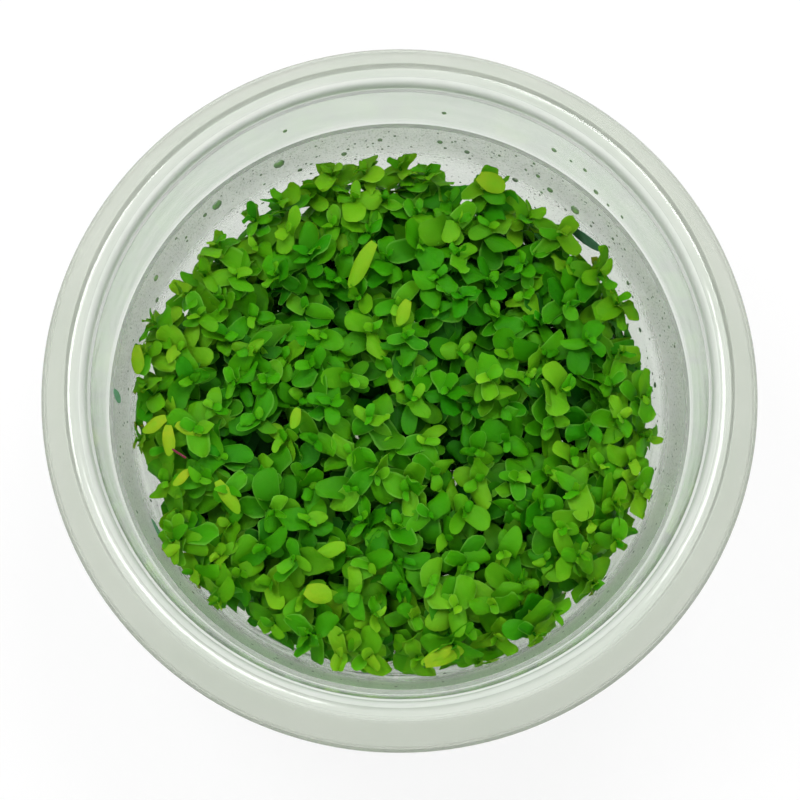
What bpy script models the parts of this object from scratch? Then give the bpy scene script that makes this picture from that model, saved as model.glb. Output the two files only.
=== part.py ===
"""Open tissue-culture cup of pearl grass: a clear moulded cup, nutrient gel and rooted plantlets.

Metres, +Z up. The origin is the centre of the cup's foot, on the surface that it stands on.
"""

import math
import random

import bmesh
import bpy
from mathutils import Vector

MM = 0.001

# Cup, outside
CUP_HEIGHT = 50.0 * MM
SKIRT_RADIUS = 50.0 * MM
SKIRT_FLARE = 3.9 * MM
SKIRT_DROP = 5.0 * MM
SKIRT_LIP = 0.8 * MM
WALL = 0.9 * MM
SEGMENTS = 36
FILLET_STEP = math.radians(35)

# Cup, rim and mouth
RIM_WIDTH = 3.2 * MM
RIM_OUTER_FILLET = 1.2 * MM
RIM_INNER_FILLET = 1.8 * MM
MOUTH_DROP = 2.8 * MM
MOUTH_STEP = 0.35 * MM

# Cup, stacking ledge and walls
LEDGE_DROP = 13.3 * MM
LEDGE_WIDTH = 0.8 * MM
LEDGE_FALL = 0.7 * MM
UPPER_DRAFT = math.radians(7.5)
LOWER_DRAFT = math.radians(13.0)

# Cup, floor and foot ring
FLOOR = 1.0 * MM
FLOOR_FILLET = 4.0 * MM
FOOT_RECESS = 0.8 * MM
FOOT_WIDTH = 3.5 * MM
FOOT_FILLET = 1.5 * MM

# Nutrient gel, poured in the cup and drawn up a little where it meets the wall
CONTACT_GAP = 0.3 * MM
GEL_DEPTH = 9.0 * MM
MENISCUS_HEIGHT = 0.8 * MM
MENISCUS_WIDTH = 2.2 * MM

# Plantlets, in rings round a middle one. Neighbours belong to different layers of leaves.
RINGS = 3
LAYERS = 3
INTERNODE = 5.4 * MM
WHORLS = 3
LAYER_STEP = INTERNODE / LAYERS
CANOPY_DROP = 3.6 * MM
RING_FALL = 0.3 * MM
HEIGHT_SPREAD = 0.15 * MM
PLACE_SPREAD = 0.25 * MM
WALL_CLEARANCE = 0.7 * MM
MAT_SHIFT = Vector((-1.5, -0.3, 0.0)) * MM
SEED = 27

# Stems
STEM_BASE_WIDTH = 1.3 * MM
STEM_TIP_WIDTH = 0.8 * MM
NODE_LENGTH = 0.7 * MM
WHORL_TURN = math.radians(45)

# Leaves, four to a whorl
LEAF_LENGTH = 5.2 * MM
LEAF_WIDTH = 3.7 * MM
LEAF_THICKNESS = 0.4 * MM
LEAF_WIDEST = 0.58
LEAF_TIP_WIDTH = 0.5
LEAF_RISE = math.radians(14)
LEAF_DROOP = 0.2
TOP_LEAF_LENGTH = 4.7 * MM
TOP_LEAF_RISE = math.radians(32)

# Heights and radii that follow from the sizes above
FLOOR_TOP = FOOT_RECESS + FLOOR
RIM_RADIUS = SKIRT_RADIUS - SKIRT_FLARE
MOUTH_RADIUS = RIM_RADIUS - RIM_WIDTH
MOUTH_Z = CUP_HEIGHT - MOUTH_DROP
LEDGE_Z = CUP_HEIGHT - LEDGE_DROP
LEDGE_OUTER = MOUTH_RADIUS - (MOUTH_Z - LEDGE_Z - LEDGE_FALL) * math.tan(UPPER_DRAFT)
LEDGE_INNER = LEDGE_OUTER - LEDGE_WIDTH
GEL_TOP = FLOOR_TOP + GEL_DEPTH
CANOPY_Z = LEDGE_Z - CANOPY_DROP
PLANT_FOOT = GEL_TOP + CONTACT_GAP


def clear_scene():
    for thing in list(bpy.data.objects):
        bpy.data.objects.remove(thing, do_unlink=True)


def make_material(name, colour, roughness, alpha=1.0):
    material = bpy.data.materials.new(name)
    material.use_nodes = True
    shader = material.node_tree.nodes["Principled BSDF"]
    shader.inputs["Base Color"].default_value = (*colour, 1.0)
    shader.inputs["Roughness"].default_value = roughness
    shader.inputs["Metallic"].default_value = 0.0
    shader.inputs["Alpha"].default_value = alpha
    return material


def place_mesh(name, mesh, material):
    mesh.materials.append(material)
    thing = bpy.data.objects.new(name, mesh)
    bpy.context.scene.collection.objects.link(thing)
    return thing


def inner_radius(height):
    """Radius of the cup's inside below the stacking ledge."""
    return LEDGE_INNER - (LEDGE_Z - height) * math.tan(LOWER_DRAFT)


def rounded(corners):
    """Turns (radius, height, fillet) corners into outline points, with an arc at each fillet."""
    points = []
    for index, (radius, height, fillet) in enumerate(corners):
        here = Vector((radius, height))
        if fillet == 0.0:
            points.append(here)
            continue
        before = Vector(corners[index - 1][:2]) - here
        after = Vector(corners[index + 1][:2]) - here
        half = before.angle(after) / 2
        centre = here + (before.normalized() + after.normalized()).normalized() * fillet / math.sin(half)
        start = here + before.normalized() * fillet / math.tan(half) - centre
        sweep = start.angle_signed(here + after.normalized() * fillet / math.tan(half) - centre)
        steps = max(2, round(abs(sweep) / FILLET_STEP))
        for step in range(steps + 1):
            turn = -sweep * step / steps
            points.append(centre + Vector((
                start.x * math.cos(turn) - start.y * math.sin(turn),
                start.x * math.sin(turn) + start.y * math.cos(turn),
            )))
    return points


def turned(name, outline, material):
    """Spins an outline that starts and ends on the axis into a closed solid."""
    work = bmesh.new()
    ring = [work.verts.new((point.x, 0.0, point.y)) for point in outline]
    edges = [work.edges.new(pair) for pair in zip(ring, ring[1:])]
    bmesh.ops.spin(
        work, geom=ring + edges, cent=(0, 0, 0), axis=(0, 0, 1),
        angle=2 * math.pi, steps=SEGMENTS, use_merge=True,
    )
    bmesh.ops.remove_doubles(work, verts=work.verts, dist=1e-6)
    bmesh.ops.recalc_face_normals(work, faces=work.faces)
    mesh = bpy.data.meshes.new(name)
    work.to_mesh(mesh)
    work.free()
    mesh.shade_smooth()
    mesh.set_sharp_from_angle(angle=math.radians(30))
    return place_mesh(name, mesh, material)


def cup_outline():
    """Half section of the cup: floor, drafted wall, ledge, mouth, rim and skirt, then back underneath."""
    wall_out_upper = WALL / math.cos(UPPER_DRAFT)
    wall_out_lower = WALL / math.cos(LOWER_DRAFT)
    skirt_slope = Vector((SKIRT_FLARE, -SKIRT_DROP)).normalized()
    skirt_shift = WALL / abs(skirt_slope.y)
    under_rim = CUP_HEIGHT - WALL
    under_rim_radius = RIM_RADIUS + SKIRT_FLARE * WALL / SKIRT_DROP - skirt_shift
    lip_z = CUP_HEIGHT - SKIRT_DROP - SKIRT_LIP
    foot_radius = inner_radius(0.0) + wall_out_lower
    recess_radius = foot_radius - FOOT_WIDTH - FOOT_RECESS
    inside = [
        (0.0, FLOOR_TOP, 0.0),
        (inner_radius(FLOOR_TOP), FLOOR_TOP, FLOOR_FILLET),
        (LEDGE_INNER, LEDGE_Z, 0.0),
        (LEDGE_OUTER, LEDGE_Z + LEDGE_FALL, 0.0),
        (MOUTH_RADIUS, MOUTH_Z, 0.0),
        (MOUTH_RADIUS + MOUTH_STEP, MOUTH_Z + MOUTH_STEP / 2, 0.0),
        (MOUTH_RADIUS + MOUTH_STEP, CUP_HEIGHT, RIM_INNER_FILLET),
    ]
    outside = [
        (RIM_RADIUS, CUP_HEIGHT, RIM_OUTER_FILLET),
        (SKIRT_RADIUS, CUP_HEIGHT - SKIRT_DROP, 0.0),
        (SKIRT_RADIUS, lip_z, 0.0),
        (SKIRT_RADIUS - skirt_shift, lip_z, 0.0),
        (SKIRT_RADIUS - skirt_shift, lip_z + SKIRT_LIP, 0.0),
        (under_rim_radius, under_rim, 0.0),
        (MOUTH_RADIUS + MOUTH_STEP + WALL, under_rim, max(0.0, RIM_INNER_FILLET - WALL)),
        (MOUTH_RADIUS + MOUTH_STEP + WALL, MOUTH_Z, 0.0),
        (LEDGE_OUTER + wall_out_upper, LEDGE_Z + LEDGE_FALL, 0.0),
        (LEDGE_INNER + wall_out_lower, LEDGE_Z - WALL / 2, 0.0),
        (foot_radius, 0.0, FOOT_FILLET),
        (foot_radius - FOOT_WIDTH, 0.0, 0.0),
        (recess_radius, FOOT_RECESS, 0.0),
        (0.0, FOOT_RECESS, 0.0),
    ]
    return rounded(inside + outside)


def gel_outline():
    """Half section of the gel, clear of the cup all round, with a raised edge at the wall."""
    bottom = FLOOR_TOP + CONTACT_GAP
    side_gap = CONTACT_GAP / math.cos(LOWER_DRAFT)
    edge_top = GEL_TOP + MENISCUS_HEIGHT
    edge_radius = inner_radius(edge_top) - side_gap
    return rounded([
        (0.0, GEL_TOP, 0.0),
        (edge_radius - MENISCUS_WIDTH, GEL_TOP, 0.0),
        (edge_radius - MENISCUS_WIDTH / 3, GEL_TOP + MENISCUS_HEIGHT / 4, 0.0),
        (edge_radius, edge_top, 0.0),
        (inner_radius(bottom) - side_gap, bottom, FLOOR_FILLET),
        (0.0, bottom, 0.0),
    ])


def ring_pitch(height):
    """Distance between rings of plantlets at a height: the last ring's leaves stop short of the wall."""
    leaf_reach = LEAF_LENGTH + STEM_BASE_WIDTH / 2 + PLACE_SPREAD
    free = inner_radius(height) - WALL_CLEARANCE - MAT_SHIFT.length
    return (free - leaf_reach) / RINGS


def extrude_to(work, face, corners):
    """Extrudes one quad and moves its corners to where they are wanted."""
    cap = bmesh.ops.extrude_discrete_faces(work, faces=[face])["faces"][0]
    for loop, corner in zip(cap.loops, corners):
        loop.vert.co = corner
    return cap


def stem_corners(face, centre, width, turn):
    """The corners of a square stem section, in the order of the face that is extruded to it."""
    arm = face.loops[0].vert.co - face.calc_center_median()
    quarter = round((math.atan2(arm.y, arm.x) - turn) / (math.pi / 2) - 0.49)
    corners = []
    for step in range(4):
        angle = turn + (quarter + 0.5 + step) * math.pi / 2
        corners.append(centre + Vector((math.cos(angle), math.sin(angle), 0.0)) * width / math.sqrt(2))
    return corners


def grow_leaf(work, face, length, rise):
    """Extrudes a side of a stem node to the leaf's widest part, then to a thin, rounded tip."""
    start = face.calc_center_median()
    outward = Vector((face.normal.x, face.normal.y, 0.0)).normalized()
    across = Vector((-outward.y, outward.x, 0.0))
    sides = []
    for loop in face.loops:
        arm = loop.vert.co - start
        sides.append((math.copysign(0.5, arm.dot(across)), math.copysign(0.5, arm.z)))
    width = LEAF_WIDTH * length / LEAF_LENGTH
    for share, wide, thick in ((LEAF_WIDEST, width, LEAF_THICKNESS), (1.0, width * LEAF_TIP_WIDTH, 0.0)):
        climb = math.tan(rise) * share - LEAF_DROOP * share * share
        centre = start + outward * length * share + Vector((0, 0, length * climb))
        corners = [centre + across * side * wide + Vector((0, 0, top * thick)) for side, top in sides]
        face = extrude_to(work, face, corners)


def plantlet(name, ring, bearing, height, place, turn, material):
    """One plantlet: a square stem that leans out with the wall, and whorls of four leaves up to its tip."""
    radial = Vector((math.cos(bearing), math.sin(bearing), 0.0))

    def stem_at(z):
        return place + radial * ring * ring_pitch(z) + Vector((0, 0, z))

    def width_at(z):
        return STEM_BASE_WIDTH + (STEM_TIP_WIDTH - STEM_BASE_WIDTH) * (z - PLANT_FOOT) / (height - PLANT_FOOT)

    whorls = min(WHORLS, int((height - NODE_LENGTH - PLANT_FOOT) / INTERNODE) + 1)
    work = bmesh.new()
    bottom = bmesh.ops.create_grid(work, x_segments=1, y_segments=1, size=1.0)["verts"][0].link_faces[0]
    for vertex, corner in zip(bottom.verts, stem_corners(bottom, stem_at(PLANT_FOOT), STEM_BASE_WIDTH, turn)):
        vertex.co = corner
    tip = bottom
    for number in range(whorls):
        top_z = height - (whorls - 1 - number) * INTERNODE
        node_turn = turn + number * WHORL_TURN
        for z in (top_z - NODE_LENGTH, top_z):
            tip = extrude_to(work, tip, stem_corners(tip, stem_at(z), width_at(z), node_turn))
        work.normal_update()
        is_top = number == whorls - 1
        length, rise = (TOP_LEAF_LENGTH, TOP_LEAF_RISE) if is_top else (LEAF_LENGTH, LEAF_RISE)
        for edge in list(tip.edges):
            side = next(face for face in edge.link_faces if face is not tip)
            grow_leaf(work, side, length, rise)
    bmesh.ops.remove_doubles(work, verts=work.verts, dist=1e-6)
    bmesh.ops.holes_fill(work, edges=work.edges, sides=4)
    bmesh.ops.recalc_face_normals(work, faces=work.faces)
    mesh = bpy.data.meshes.new(name)
    work.to_mesh(mesh)
    work.free()
    return place_mesh(name, mesh, material)


def plant_mat(material):
    """All plantlets, ring by ring from the middle, on a hexagonal pattern drawn out to a round one."""
    chance = random.Random(SEED)
    cells = []
    for column in range(-RINGS, RINGS + 1):
        for row in range(-RINGS, RINGS + 1):
            ring = max(abs(column), abs(row), abs(column + row))
            if ring <= RINGS:
                bearing = math.atan2(row * math.sin(math.pi / 3), column + row / 2)
                cells.append((ring, bearing, (column - row) % LAYERS))
    for number, (ring, bearing, layer) in enumerate(sorted(cells), start=1):
        height = CANOPY_Z - layer * LAYER_STEP - ring * RING_FALL
        height += chance.uniform(-HEIGHT_SPREAD, HEIGHT_SPREAD)
        nudge = chance.uniform(0, 2 * math.pi)
        place = MAT_SHIFT + Vector((math.cos(nudge), math.sin(nudge), 0.0)) * PLACE_SPREAD
        turn = chance.uniform(0, math.pi / 2)
        plantlet(f"plantlet_{number:02d}", ring, bearing, height, place, turn, material)


def main():
    clear_scene()
    clear_plastic = make_material("clear_plastic", (0.80, 0.84, 0.80), 0.12, alpha=0.35)
    gel = make_material("nutrient_gel", (0.78, 0.82, 0.74), 0.25, alpha=0.6)
    leaf = make_material("pearl_grass", (0.10, 0.33, 0.03), 0.45)
    turned("cup", cup_outline(), clear_plastic)
    turned("nutrient_gel", gel_outline(), gel)
    plant_mat(leaf)


main()
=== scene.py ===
"""Looks of the open tissue-culture cup of pearl grass.

Metres, +Z up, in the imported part's own frame: the cup stands on z = 0 round the origin.
"""

import math

import bmesh
import bpy
import numpy as np
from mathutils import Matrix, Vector


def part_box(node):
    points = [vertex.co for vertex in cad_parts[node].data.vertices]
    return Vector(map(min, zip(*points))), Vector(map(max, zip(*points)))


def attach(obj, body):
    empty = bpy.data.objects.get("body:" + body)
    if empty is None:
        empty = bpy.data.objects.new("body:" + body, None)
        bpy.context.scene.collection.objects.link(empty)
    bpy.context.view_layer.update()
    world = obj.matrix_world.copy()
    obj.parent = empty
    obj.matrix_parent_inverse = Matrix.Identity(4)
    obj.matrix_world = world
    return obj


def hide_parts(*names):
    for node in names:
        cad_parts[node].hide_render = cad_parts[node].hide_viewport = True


MM = 0.001
SEED = 27

# Camera: the photo looks down into the cup from just in front of it
FRAME_PX = 800
SENSOR_MM = 36.0
FOCAL_PX = 2545.1
TILT = math.radians(10.76)
CAMERA_DISTANCE = 350.0 * MM
AIM = Vector((0.07, -2.13, 50.0)) * MM

# Cup, in the part's own sizes, with slightly fuller rounds on its rim
WALL = 0.9 * MM
SKIRT_FLARE = 3.9 * MM
SKIRT_DROP = 5.0 * MM
SKIRT_LIP = 0.8 * MM
RIM_WIDTH = 3.2 * MM
RIM_OUTER_FILLET = 1.3 * MM
RIM_INNER_FILLET = 2.0 * MM
MOUTH_DROP = 2.8 * MM
MOUTH_STEP = 0.35 * MM
LEDGE_DROP = 13.3 * MM
LEDGE_WIDTH = 0.8 * MM
LEDGE_FALL = 0.7 * MM
UPPER_DRAFT = math.radians(7.5)
LOWER_DRAFT = math.radians(13.0)
FLOOR = 1.0 * MM
FLOOR_FILLET = 4.0 * MM
FOOT_RECESS = 0.8 * MM
FOOT_WIDTH = 3.5 * MM
GEL_GAP = 0.04 * MM
MENISCUS_HEIGHT = 0.8 * MM
MENISCUS_WIDTH = 2.2 * MM
CUP_SEGMENTS = 180
FILLET_STEP = math.radians(14)
FINE_FILLET = 0.25 * MM

# Surfaces of the cup, in the order of its materials, and the painted shade that darkens the crest and skirt
OUTSIDE, UPPER_WALL, LOWER_WALL, SKIRT, CREST, LIP = range(6)
LIP_WIDTH = 1.4 * MM
CREST_PAINTED_SHADE = (0.80, 0.82, 0.78)
SKIRT_PAINTED_SHADE = (0.74, 0.76, 0.70)

# Fog on the lower wall: it sets in between two depths below the plants' tips, and from a line in front
# of the axis a painted green glow covers it, standing in for leaf light scattered in the fog
FOG_DEPTHS = (9.0 * MM, 2.0 * MM)
LEAF_GLOW_PLACES = (-8.0 * MM, -30.0 * MM)
FRONT_PAINTED_LEAF_GLOW = (0.66, 0.84, 0.60)

# Mat of shoots, as the photo shows it from above: its reach at twelve bearings, its lower storeys as
# depth below the canopy and spacing, and the dark hollows between clumps
MAT_CENTRE_PX = (388.0, 412.0)
MAT_REACH_PX = (260, 263, 252, 256, 248, 250, 263, 260, 266, 271, 272, 266)
MAT_OVERHANG_PX = 5.0
SHOOT_SPACING = 4.25 * MM
SHOOT_TRIES = 12000
TIP_SPREAD = 2.0 * MM
CANOPY_DROP = 2.0 * MM
EDGE_FALL = 1.2 * MM
UNDERGROWTH = ((7.5 * MM, 4.8 * MM), (11.5 * MM, 4.0 * MM), (16.0 * MM, 4.2 * MM))
HOLLOWS_PX = (
    (296, 341), (482, 526), (446, 514), (216, 371), (492, 294), (247, 528), (269, 600), (374, 357),
    (440, 338), (538, 277), (419, 296), (278, 480), (407, 538), (340, 632), (503, 247), (314, 284),
    (467, 434), (210, 345), (530, 525), (538, 442), (280, 401), (382, 594),
)
HOLLOW_RADIUS = 3.2 * MM
HOLLOW_DEPTH = 3.6 * MM
HOLLOW_BARE_SHARE = 0.55
WALL_CLEARANCE = 0.35 * MM
TIP_CLEARANCE = 1.0 * MM

# Leaves
LEAF_LENGTH = 4.5 * MM
LEAF_WIDTH = 3.05 * MM
LEAF_THICKNESS = 0.14 * MM
# Painted shade: how much darker each leaf is at its foot, near the stem
LEAF_FOOT_PAINTED_SHADE = 0.3
STEM_RADIUS = 0.36 * MM
ROOTS = 6

# Yellowed leaves of the photo: base pixel, tip pixel, width in mm and how yellow
YELLOW_LEAVES_PX = (
    ((166, 417), (141, 428), 1.9, 0.9), ((168, 425), (165, 454), 1.9, 1.0),
    ((176, 424), (199, 436), 1.9, 0.8), ((217, 481), (235, 514), 2.0, 0.6),
    ((374, 242), (344, 282), 2.4, 0.5), ((305, 590), (330, 600), 3.0, 0.7),
    ((425, 664), (466, 652), 2.4, 0.8), ((478, 176), (503, 190), 3.0, 0.7),
    ((345, 545), (316, 550), 2.2, 0.3), ((452, 648), (420, 660), 2.0, 0.7),
    ((136, 345), (134, 372), 2.0, 0.8), ((150, 560), (180, 548), 1.8, 0.5),
    ((408, 300), (396, 322), 2.0, 0.6), ((190, 470), (172, 482), 1.4, 1.2),
    ((298, 408), (290, 426), 1.6, 0.5),
)
YELLOW_FOOT_LIFT = 1.0 * MM
YELLOW_TIP_LIFT = 2.2 * MM
YELLOW_STALK = 7.0 * MM
RED_STEM_PX = ((172, 449), (186, 458))
RED_STEM_LIFT = 1.0 * MM
RED_STEM_RADIUS = 0.17 * MM

# World light: its level, and how much brighter it is at the back than at the sides
WORLD_LEVEL = 0.6
WORLD_LEAN = 0.12

# Lamps: how far each leans off the vertical to +X and to +Y in degrees, width in metres, power in watts
LAMPS = {
    "left_box": (-22, 16, 0.45, 4.7),
    "right_box": (15, 27, 0.45, 4.7),
    "front_box": (4, -30, 0.9, 1.3),
}
LAMP_DISTANCE = 1.2
LAMP_TARGET_HEIGHT = 0.03

# White floor: half its width in metres, its level and how white it looks to the camera
FLOOR_REACH = 3.0
FLOOR_LEVEL = -0.05 * MM
FLOOR_WHITE = 0.86

# Drops and leaf scraps on the lower wall: photo pixels, then half width or width in mm. The fine drops
# lie in a band below the ledge, from one depth to the other in mm
FINE_DROPS = 2200
DROP_BAND = (0.6, 14.0)
DROP_SIDES = 8
LARGE_DROP_SCALE = 1.35
LARGE_DROPS_PX = (
    ((575, 210), 0.62), ((550, 190), 0.42), ((515, 180), 0.36), ((600, 262), 0.34), ((620, 300), 0.4),
    ((585, 288), 0.26), ((640, 330), 0.3), ((655, 385), 0.34), ((538, 176), 0.3), ((467, 152), 0.34),
    ((440, 142), 0.34), ((380, 140), 0.3), ((279, 164), 0.7), ((217, 205), 0.7), ((205, 215), 0.3),
    ((156, 278), 0.42), ((157, 300), 0.34), ((155, 313), 0.4), ((300, 170), 0.3), ((344, 154), 0.36),
    ((628, 283), 0.3), ((605, 578), 0.3), ((622, 217), 0.24), ((596, 192), 0.36), ((585, 170), 0.28),
    ((554, 150), 0.34), ((444, 113), 0.28), ((285, 131), 0.28), ((608, 205), 0.22), ((571, 161), 0.2),
)
STRAY_LEAVES_PX = (
    ((566, 223), (604, 252), 3.0), ((150, 520), (163, 545), 2.0), ((112, 390), (119, 403), 1.6),
)


def cup_sizes():
    """Radii and heights that the cup's outline and its contents share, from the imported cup."""
    low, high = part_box("cup")
    height = high.z
    skirt = high.x
    rim = skirt - SKIRT_FLARE
    mouth = rim - RIM_WIDTH
    mouth_z = height - MOUTH_DROP
    ledge_z = height - LEDGE_DROP
    ledge_outer = mouth - (mouth_z - ledge_z - LEDGE_FALL) * math.tan(UPPER_DRAFT)
    return {
        "height": height, "skirt": skirt, "rim": rim, "mouth": mouth, "mouth_z": mouth_z,
        "ledge_z": ledge_z, "ledge_outer": ledge_outer, "ledge_inner": ledge_outer - LEDGE_WIDTH,
        "floor_top": FOOT_RECESS + FLOOR,
    }


def inner_radius(cup, z):
    """Radius of the cup's inside below the stacking ledge."""
    return cup["ledge_inner"] - (cup["ledge_z"] - z) * math.tan(LOWER_DRAFT)


def wall_radius(cup, z):
    """Radius of the cup's inside at any height up to the mouth."""
    if z < cup["ledge_z"]:
        return inner_radius(cup, z)
    return cup["ledge_outer"] + max(0.0, z - cup["ledge_z"] - LEDGE_FALL) * math.tan(UPPER_DRAFT)


def rounded(corners):
    """Turns (radius, height, fillet) corners into outline points, with an arc at each fillet."""
    points = []
    for index, (radius, height, fillet) in enumerate(corners):
        here = Vector((radius, height))
        if fillet == 0.0:
            points.append(here)
            continue
        before = Vector(corners[index - 1][:2]) - here
        after = Vector(corners[index + 1][:2]) - here
        half = before.angle(after) / 2
        centre = here + (before.normalized() + after.normalized()).normalized() * fillet / math.sin(half)
        start = here + before.normalized() * fillet / math.tan(half) - centre
        sweep = start.angle_signed(here + after.normalized() * fillet / math.tan(half) - centre)
        steps = max(2, round(abs(sweep) / FILLET_STEP))
        for step in range(steps + 1):
            turn = -sweep * step / steps
            points.append(centre + Vector((
                start.x * math.cos(turn) - start.y * math.sin(turn),
                start.x * math.sin(turn) + start.y * math.cos(turn),
            )))
    return points


def turned(name, outline, segments):
    """Spins an outline that starts and ends on the axis into a closed, smooth solid."""
    work = bmesh.new()
    ring = [work.verts.new((point.x, 0.0, point.y)) for point in outline]
    edges = [work.edges.new(pair) for pair in zip(ring, ring[1:])]
    bmesh.ops.spin(
        work, geom=ring + edges, cent=(0, 0, 0), axis=(0, 0, 1),
        angle=2 * math.pi, steps=segments, use_merge=True,
    )
    bmesh.ops.remove_doubles(work, verts=work.verts, dist=1e-7)
    bmesh.ops.recalc_face_normals(work, faces=work.faces)
    mesh = bpy.data.meshes.new(name)
    work.to_mesh(mesh)
    work.free()
    mesh.shade_smooth()
    mesh.set_sharp_from_angle(angle=math.radians(50))
    piece = bpy.data.objects.new(name, mesh)
    bpy.context.scene.collection.objects.link(piece)
    return piece


def cup_outline(cup):
    """Half section of the cup, with the small rounds of a moulded piece at every corner."""
    wall_upper = WALL / math.cos(UPPER_DRAFT)
    wall_lower = WALL / math.cos(LOWER_DRAFT)
    skirt_shift = WALL * Vector((SKIRT_FLARE, SKIRT_DROP)).length / SKIRT_DROP
    under_rim = cup["height"] - WALL
    under_radius = cup["rim"] + SKIRT_FLARE * WALL / SKIRT_DROP - skirt_shift
    lip_z = cup["height"] - SKIRT_DROP - SKIRT_LIP
    foot = inner_radius(cup, 0.0) + wall_lower
    step = cup["mouth"] + MOUTH_STEP
    inside = [
        (0.0, cup["floor_top"], 0.0),
        (inner_radius(cup, cup["floor_top"]), cup["floor_top"], FLOOR_FILLET),
        (cup["ledge_inner"], cup["ledge_z"], FINE_FILLET),
        (cup["ledge_outer"], cup["ledge_z"] + LEDGE_FALL, FINE_FILLET),
        (cup["mouth"], cup["mouth_z"], 0.12 * MM),
        (step, cup["mouth_z"] + MOUTH_STEP / 2, 0.06 * MM),
        (step, cup["height"], RIM_INNER_FILLET),
    ]
    outside = [
        (cup["rim"], cup["height"], RIM_OUTER_FILLET),
        (cup["skirt"], cup["height"] - SKIRT_DROP, FINE_FILLET),
        (cup["skirt"], lip_z, FINE_FILLET),
        (cup["skirt"] - skirt_shift, lip_z, FINE_FILLET),
        (cup["skirt"] - skirt_shift, lip_z + SKIRT_LIP, FINE_FILLET),
        (under_radius, under_rim, RIM_OUTER_FILLET - WALL),
        (step + WALL, under_rim, RIM_INNER_FILLET - WALL),
        (step + WALL, cup["mouth_z"], FINE_FILLET),
        (cup["ledge_outer"] + wall_upper, cup["ledge_z"] + LEDGE_FALL, FINE_FILLET),
        (cup["ledge_inner"] + wall_lower, cup["ledge_z"] - WALL / 2, FINE_FILLET),
        (foot, 0.0, 1.5 * MM),
        (foot - FOOT_WIDTH, 0.0, 0.3 * MM),
        (foot - FOOT_WIDTH - FOOT_RECESS, FOOT_RECESS, 0.3 * MM),
        (0.0, FOOT_RECESS, 0.0),
    ]
    return rounded(inside + outside)


class Foliage:
    """Collects the arrays of many small closed forms that become one mesh."""

    def __init__(self):
        self.points = []
        self.faces = []
        self.values = {"age": [], "tone": [], "edge": [], "yellow": [], "red": []}
        self.slots = []
        self.count = 0

    def add(self, points, faces, slot, **values):
        """points is (n, 3); faces index into them; each value is one number or one per point."""
        self.points.append(points)
        self.faces.extend([tuple(index + self.count for index in face) for face in faces])
        self.slots.extend([slot] * len(faces))
        for name, store in self.values.items():
            store.append(np.broadcast_to(values.get(name, 0.0), (len(points),)))
        self.count += len(points)

    def build(self, name, materials):
        mesh = bpy.data.meshes.new(name)
        mesh.from_pydata(np.concatenate(self.points).tolist(), [], self.faces)
        for key, store in self.values.items():
            attribute = mesh.attributes.new(key, "FLOAT", "POINT")
            attribute.data.foreach_set("value", np.concatenate(store).astype(np.float32))
        for material in materials:
            mesh.materials.append(material)
        mesh.polygons.foreach_set("material_index", self.slots)
        mesh.shade_smooth()
        mesh.set_sharp_from_angle(angle=math.radians(80))
        mesh.validate()
        piece = bpy.data.objects.new(name, mesh)
        bpy.context.scene.collection.objects.link(piece)
        return piece


class LeafForm:
    """The grid of one closed leaf: where each point lies along, across and above it, and its faces."""

    def __init__(self, stations, across):
        rows, columns = len(stations), len(across)
        inner = across[1:-1]
        along = [t for t in stations for _ in across] + [t for t in stations for _ in inner] + [1.0]
        span = list(across) * rows + list(inner) * rows + [0.0]
        side = [1.0] * (rows * columns) + [-1.0] * (rows * len(inner)) + [0.0]
        tip = len(along) - 1

        def top(row, column):
            return row * columns + column

        def under(row, column):
            if column in (0, columns - 1):
                return top(row, column)
            return rows * columns + row * len(inner) + column - 1

        faces = []
        for row in range(rows - 1):
            for column in range(columns - 1):
                faces.append((top(row, column), top(row + 1, column),
                              top(row + 1, column + 1), top(row, column + 1)))
                faces.append((under(row, column), under(row, column + 1),
                              under(row + 1, column + 1), under(row + 1, column)))
        for column in range(columns - 1):
            faces.append((top(rows - 1, column), tip, top(rows - 1, column + 1)))
            faces.append((under(rows - 1, column + 1), tip, under(rows - 1, column)))
        base = [top(0, column) for column in range(columns)]
        base += [under(0, column) for column in range(columns - 2, 0, -1)]
        faces.append(tuple(base))
        self.along = np.array(along)
        self.span = np.array(span)
        self.side = np.array(side)
        self.faces = faces
        self.edge = np.maximum(np.abs(self.span), np.clip((self.along - 0.78) / 0.22, 0, 1))


FINE_LEAF = LeafForm((0.0, 0.12, 0.3, 0.5, 0.7, 0.85, 0.95), (-1.0, -0.55, 0.0, 0.55, 1.0))
PLAIN_LEAF = LeafForm((0.0, 0.3, 0.6, 0.88), (-1.0, 0.0, 1.0))


def leaf_shape(chance):
    """A leaf's own bends and outline: angles in radians, the rest as shares of its length or width."""
    return {
        "bend": chance.uniform(0.05, 1.35),
        "roll": chance.uniform(-0.4, 0.4),
        "twist": chance.uniform(-0.5, 0.5),
        "cup": chance.uniform(-0.5, 0.3),
        "sickle": chance.normal(0, 0.17),
        "lobe": chance.uniform(-0.22, 0.22),
        "wave": chance.uniform(0.04, 0.22),
        "phase": chance.uniform(0, 2 * math.pi),
        "foot": chance.uniform(0.5, 1.0),
        "widest": chance.uniform(0.45, 0.7),
        "point": chance.uniform(0.32, 0.58),
    }


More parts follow.
